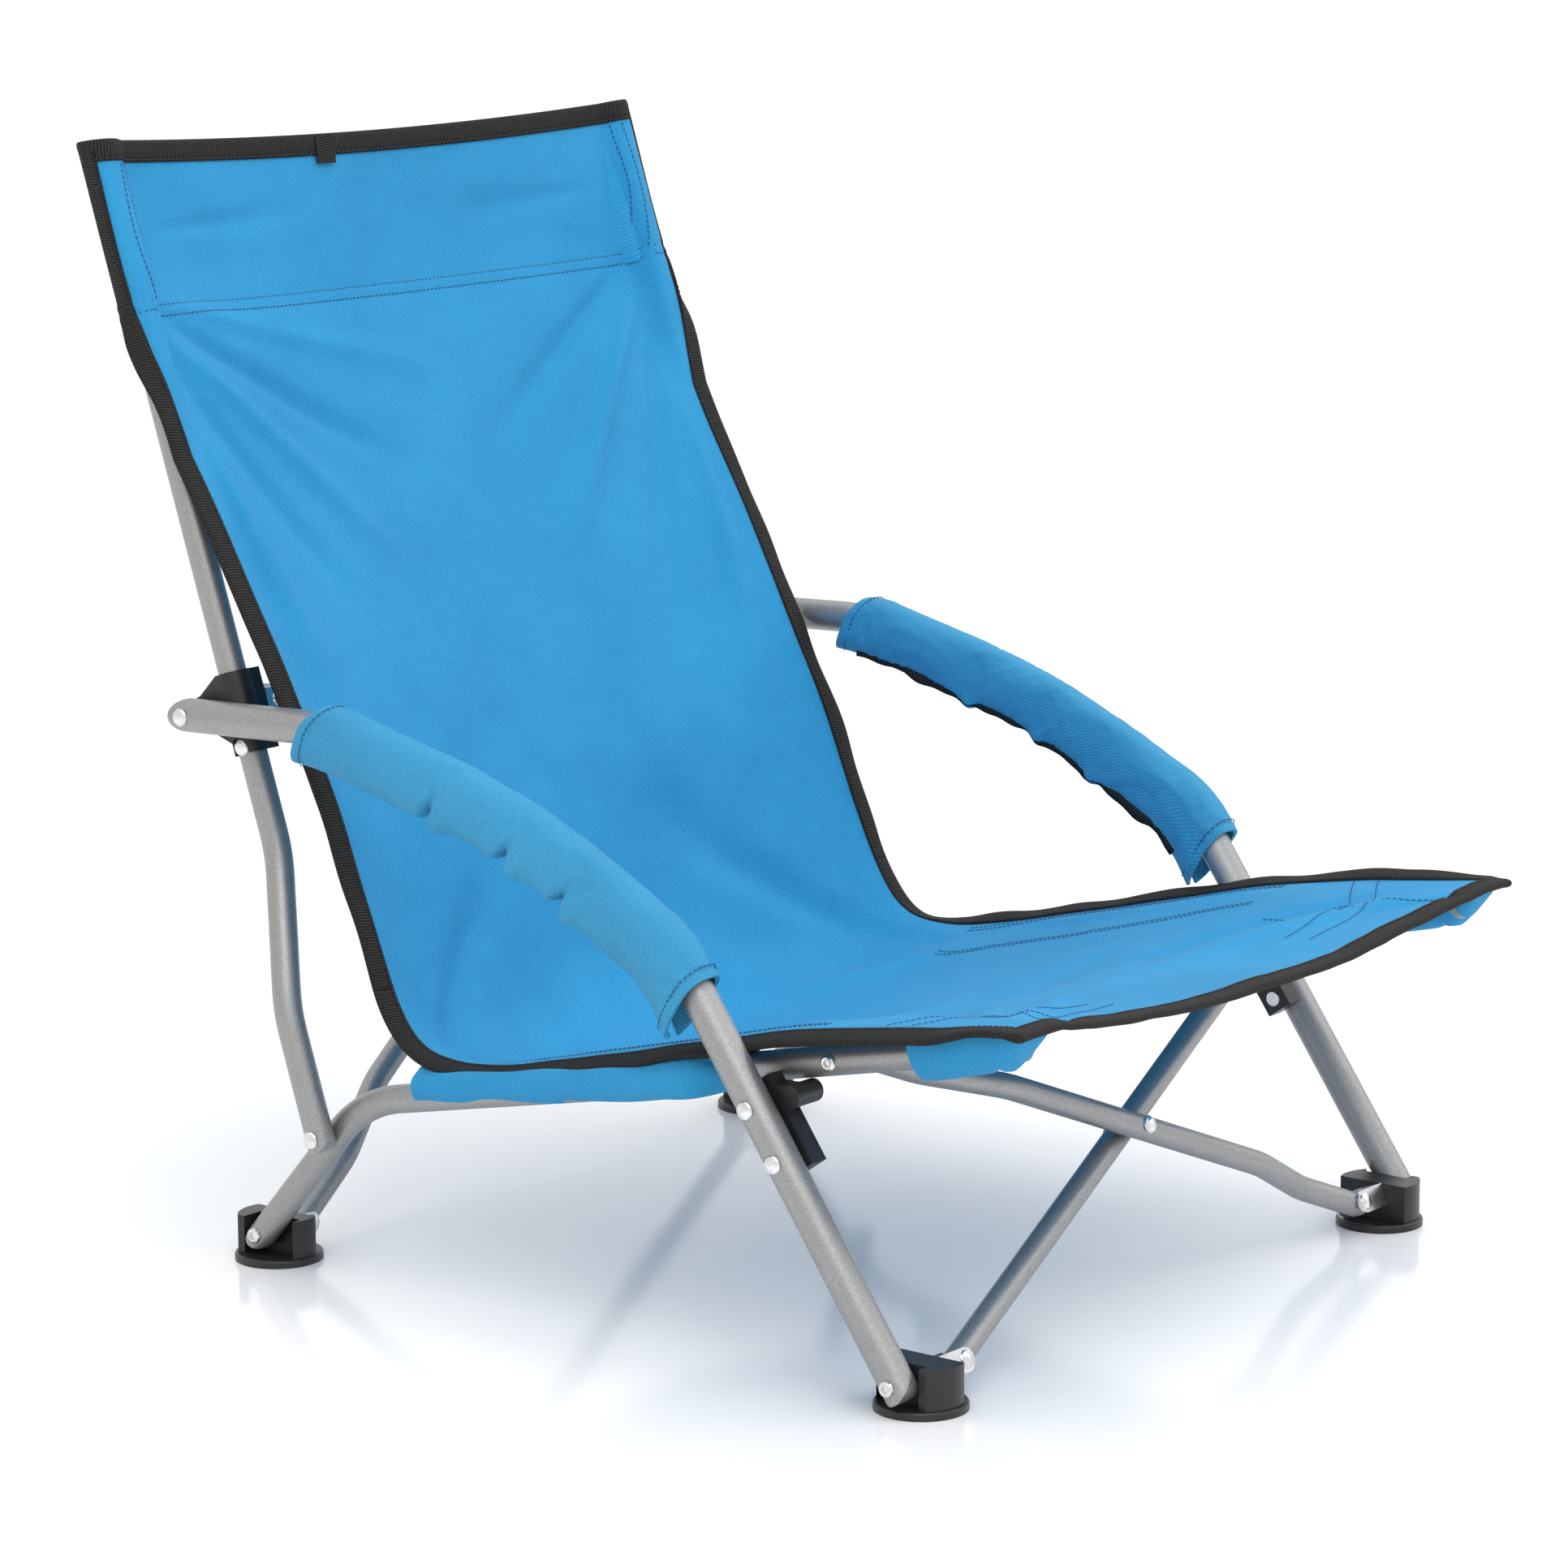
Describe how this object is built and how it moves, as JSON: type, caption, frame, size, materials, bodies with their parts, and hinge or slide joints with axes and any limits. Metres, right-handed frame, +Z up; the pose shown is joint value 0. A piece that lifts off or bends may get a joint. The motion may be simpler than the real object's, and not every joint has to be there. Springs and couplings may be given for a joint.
{
  "type": "folding camp chair",
  "caption": "Low folding camp chair with a fabric sling on bent tubes, padded curved arms, crossed tubes front and rear and round plastic feet.",
  "frame": {"origin": "on the ground, at the middle of the overall box", "axes": "+Z up, -Y the way the chair faces, -X the occupant's right"},
  "size_m": [0.519, 0.6506, 0.617],
  "materials": {
    "tube_paint": "silver-grey metallic paint, semi-gloss",
    "zinc": "bright zinc plate",
    "black_plastic": "semi-gloss black moulding",
    "sling_fabric": "blue woven polyester with black binding",
    "pad_fabric": "blue woven polyester over foam",
    "label": "black woven tape"
  },
  "bodies": {
    "right_front_foot_body": {"right_front_foot": "black_plastic", "right_front_foot_rivet": "zinc"},
    "right_arm_body": {"right_arm_leg_tube": "tube_paint", "right_arm_rivets": "zinc", "right_arm_pad": "pad_fabric", "right_rail_rest": "black_plastic"},
    "right_collar_body": {"right_collar": "black_plastic"},
    "right_upright_body": {"right_back_upright": "tube_paint", "right_upright_rivets": "zinc", "right_top_pocket": "sling_fabric", "sling_back": "sling_fabric", "label_tab": "label"},
    "right_rail_body": {"right_seat_rail": "tube_paint", "right_rail_rivet": "zinc", "right_seat_sleeve": "sling_fabric", "sling_seat": "sling_fabric"},
    "right_rear_foot_body": {"right_rear_foot": "black_plastic", "right_rear_foot_rivet": "zinc"},
    "right_front_foot_bracket_body": {"right_front_foot_bracket": "zinc", "right_front_foot_bracket_rivets": "zinc"},
    "right_rail_bracket_body": {"right_rail_bracket": "zinc", "right_rail_bracket_rivets": "zinc"},
    "right_rear_foot_bracket_body": {"right_rear_foot_bracket": "zinc", "right_rear_foot_bracket_rivets": "zinc"},
    "right_collar_bracket_body": {"right_collar_bracket": "zinc", "right_collar_bracket_rivets": "zinc"},
    "left_front_foot_body": {"left_front_foot": "black_plastic", "left_front_foot_rivet": "zinc"},
    "left_arm_body": {"left_arm_leg_tube": "tube_paint", "left_arm_rivets": "zinc", "left_arm_pad": "pad_fabric", "left_rail_rest": "black_plastic"},
    "left_collar_body": {"left_collar": "black_plastic"},
    "left_upright_body": {"left_back_upright": "tube_paint", "left_upright_rivets": "zinc", "left_top_pocket": "sling_fabric"},
    "left_rail_body": {"left_seat_rail": "tube_paint", "left_rail_rivet": "zinc", "left_seat_sleeve": "sling_fabric"},
    "left_rear_foot_body": {"left_rear_foot": "black_plastic", "left_rear_foot_rivet": "zinc"},
    "left_front_foot_bracket_body": {"left_front_foot_bracket": "zinc", "left_front_foot_bracket_rivets": "zinc"},
    "left_rail_bracket_body": {"left_rail_bracket": "zinc", "left_rail_bracket_rivets": "zinc"},
    "left_rear_foot_bracket_body": {"left_rear_foot_bracket": "zinc", "left_rear_foot_bracket_rivets": "zinc"},
    "left_collar_bracket_body": {"left_collar_bracket": "zinc", "left_collar_bracket_rivets": "zinc"},
    "front_straight_tube_body": {"front_straight_cross_tube": "tube_paint"},
    "front_cranked_tube_body": {"front_cranked_cross_tube": "tube_paint", "front_centre_rivet": "zinc"},
    "rear_cranked_tube_body": {"rear_cranked_cross_tube": "tube_paint", "rear_centre_rivet": "zinc"},
    "rear_straight_tube_body": {"rear_straight_cross_tube": "tube_paint"}
  },
  "joints": [
    {"name": "right_arm_fold", "type": "hinge", "parent": "right_front_foot_body", "child": "right_arm_body", "pos_m": [-0.242, -0.25332, 0.017], "axis": [1, 0, 0], "range_deg": [0, 30]},
    {"name": "right_collar_turn", "type": "hinge", "parent": "right_arm_body", "child": "right_collar_body", "pos_m": [-0.2291, 0.23668, 0.311], "axis": [1, 0, 0], "range_deg": [-6.01, 0]},
    {"name": "right_upright_slide", "type": "slide", "parent": "right_collar_body", "child": "right_upright_body", "axis": [0, -0.3135, -0.9496], "range_m": [0, 0.16526], "deforming": ["sling_back"]},
    {"name": "right_rail_turn", "type": "hinge", "parent": "right_upright_body", "child": "right_rail_body", "pos_m": [-0.23, 0.14168, 0.085], "axis": [1, 0, 0], "range_deg": [-72.03, 0], "deforming": ["sling_seat"]},
    {"name": "right_rear_foot_turn", "type": "hinge", "parent": "right_rail_body", "child": "right_rear_foot_body", "pos_m": [-0.23, 0.20168, 0.017], "axis": [1, 0, 0], "range_deg": [0, 48.04]},
    {"name": "right_rear_foot_bracket_turn", "type": "hinge", "parent": "right_rail_body", "child": "right_rear_foot_bracket_body", "pos_m": [-0.21, 0.20168, 0.017], "axis": [1, 0, 0], "range_deg": [0, 54.76]},
    {"name": "right_front_foot_bracket_turn", "type": "hinge", "parent": "right_front_foot_body", "child": "right_front_foot_bracket_body", "pos_m": [-0.213, -0.25332, 0.017], "axis": [1, 0, 0], "range_deg": [0, 2]},
    {"name": "front_straight_tube_turn", "type": "hinge", "parent": "right_front_foot_bracket_body", "child": "front_straight_tube_body", "pos_m": [-0.1935, -0.25332, 0.017], "axis": [0, -0.9306, 0.3661], "range_deg": [0, 63.58]},
    {"name": "front_centre_turn", "type": "hinge", "parent": "front_straight_tube_body", "child": "front_cranked_tube_body", "pos_m": [0, -0.22282, 0.09454], "axis": [0, -0.9306, 0.3661], "range_deg": [-127.16, 0]},
    {"name": "left_front_foot_bracket_turn", "type": "hinge", "parent": "front_cranked_tube_body", "child": "left_front_foot_bracket_body", "pos_m": [0.1935, -0.25332, 0.017], "axis": [0, -0.9306, 0.3661], "range_deg": [0, 63.58]},
    {"name": "left_front_foot_turn", "type": "hinge", "parent": "left_arm_body", "child": "left_front_foot_body", "pos_m": [0.242, -0.25332, 0.017], "axis": [1, 0, 0], "range_deg": [-30.01, 0]},
    {"name": "rear_cranked_tube_turn", "type": "hinge", "parent": "right_rear_foot_bracket_body", "child": "rear_cranked_tube_body", "pos_m": [-0.2, 0.20168, 0.017], "axis": [0, -0.9984, 0.0562], "range_deg": [0, 48.88]},
    {"name": "rear_centre_turn", "type": "hinge", "parent": "rear_cranked_tube_body", "child": "rear_straight_tube_body", "pos_m": [0, 0.21014, 0.1675], "axis": [0, -0.9984, 0.0562], "range_deg": [-97.76, 0]},
    {"name": "left_arm_fold", "type": "hinge", "parent": "left_front_foot_bracket_body", "child": "left_arm_body", "pos_m": [0.213, -0.25332, 0.017], "axis": [1, 0, 0], "range_deg": [0, 28.02]},
    {"name": "left_collar_turn", "type": "hinge", "parent": "left_arm_body", "child": "left_collar_body", "pos_m": [0.2291, 0.23668, 0.311], "axis": [1, 0, 0], "range_deg": [-6.01, 0]},
    {"name": "left_upright_slide", "type": "slide", "parent": "left_collar_body", "child": "left_upright_body", "axis": [0, -0.3135, -0.9496], "range_m": [0, 0.16526]},
    {"name": "left_rail_turn", "type": "hinge", "parent": "left_upright_body", "child": "left_rail_body", "pos_m": [0.23, 0.14168, 0.085], "axis": [1, 0, 0], "range_deg": [-72.03, 0]},
    {"name": "left_rear_foot_turn", "type": "hinge", "parent": "left_rail_body", "child": "left_rear_foot_body", "pos_m": [0.23, 0.20168, 0.017], "axis": [1, 0, 0], "range_deg": [0, 48.04]},
    {"name": "left_rail_bracket_turn", "type": "hinge", "parent": "front_straight_tube_body", "child": "left_rail_bracket_body", "pos_m": [0.1935, -0.19232, 0.17208], "axis": [0, -0.9306, 0.3661], "range_deg": [-63.58, 0]},
    {"name": "right_rail_bracket_turn", "type": "hinge", "parent": "front_cranked_tube_body", "child": "right_rail_bracket_body", "pos_m": [-0.1935, -0.19232, 0.17208], "axis": [0, -0.9306, 0.3661], "range_deg": [0, 63.58]},
    {"name": "left_collar_bracket_turn", "type": "hinge", "parent": "rear_cranked_tube_body", "child": "left_collar_bracket_body", "pos_m": [0.2, 0.21861, 0.318], "axis": [0, -0.9984, 0.0562], "range_deg": [-48.88, 0]},
    {"name": "right_collar_bracket_turn", "type": "hinge", "parent": "rear_straight_tube_body", "child": "right_collar_bracket_body", "pos_m": [-0.2, 0.21861, 0.318], "axis": [0, -0.9984, 0.0562], "range_deg": [0, 48.88]},
    {"name": "left_rear_foot_bracket_turn", "type": "hinge", "parent": "rear_straight_tube_body", "child": "left_rear_foot_bracket_body", "pos_m": [0.2, 0.20168, 0.017], "axis": [0, -0.9984, 0.0562], "range_deg": [0, 48.88]}
  ],
  "couplings": [
    {"joint": "right_collar_turn", "follows": "right_arm_fold", "ratio": -0.20012},
    {"joint": "right_upright_slide", "follows": "right_arm_fold", "m_per_rad": 0.3156},
    {"joint": "right_rail_turn", "follows": "right_arm_fold", "ratio": -2.4008},
    {"joint": "right_rear_foot_turn", "follows": "right_arm_fold", "ratio": 1.6009},
    {"joint": "right_rear_foot_bracket_turn", "follows": "right_arm_fold", "ratio": 1.825},
    {"joint": "right_front_foot_bracket_turn", "follows": "right_arm_fold", "ratio": 0.066316},
    {"joint": "front_straight_tube_turn", "follows": "right_arm_fold", "ratio": 2.1191},
    {"joint": "front_centre_turn", "follows": "right_arm_fold", "ratio": -4.2383},
    {"joint": "left_front_foot_bracket_turn", "follows": "right_arm_fold", "ratio": 2.1191},
    {"joint": "left_front_foot_turn", "follows": "right_arm_fold", "ratio": -1},
    {"joint": "rear_cranked_tube_turn", "follows": "right_arm_fold", "ratio": 1.6291},
    {"joint": "rear_centre_turn", "follows": "right_arm_fold", "ratio": -3.2582},
    {"joint": "left_arm_fold", "follows": "right_arm_fold", "ratio": 0.93368},
    {"joint": "left_collar_turn", "follows": "right_arm_fold", "ratio": -0.20012},
    {"joint": "left_upright_slide", "follows": "right_arm_fold", "m_per_rad": 0.3156},
    {"joint": "left_rail_turn", "follows": "right_arm_fold", "ratio": -2.4008},
    {"joint": "left_rear_foot_turn", "follows": "right_arm_fold", "ratio": 1.6009},
    {"joint": "left_rail_bracket_turn", "follows": "right_arm_fold", "ratio": -2.1191},
    {"joint": "right_rail_bracket_turn", "follows": "right_arm_fold", "ratio": 2.1191},
    {"joint": "left_collar_bracket_turn", "follows": "right_arm_fold", "ratio": -1.6291},
    {"joint": "right_collar_bracket_turn", "follows": "right_arm_fold", "ratio": 1.6291},
    {"joint": "left_rear_foot_bracket_turn", "follows": "right_arm_fold", "ratio": 1.6291}
  ]
}
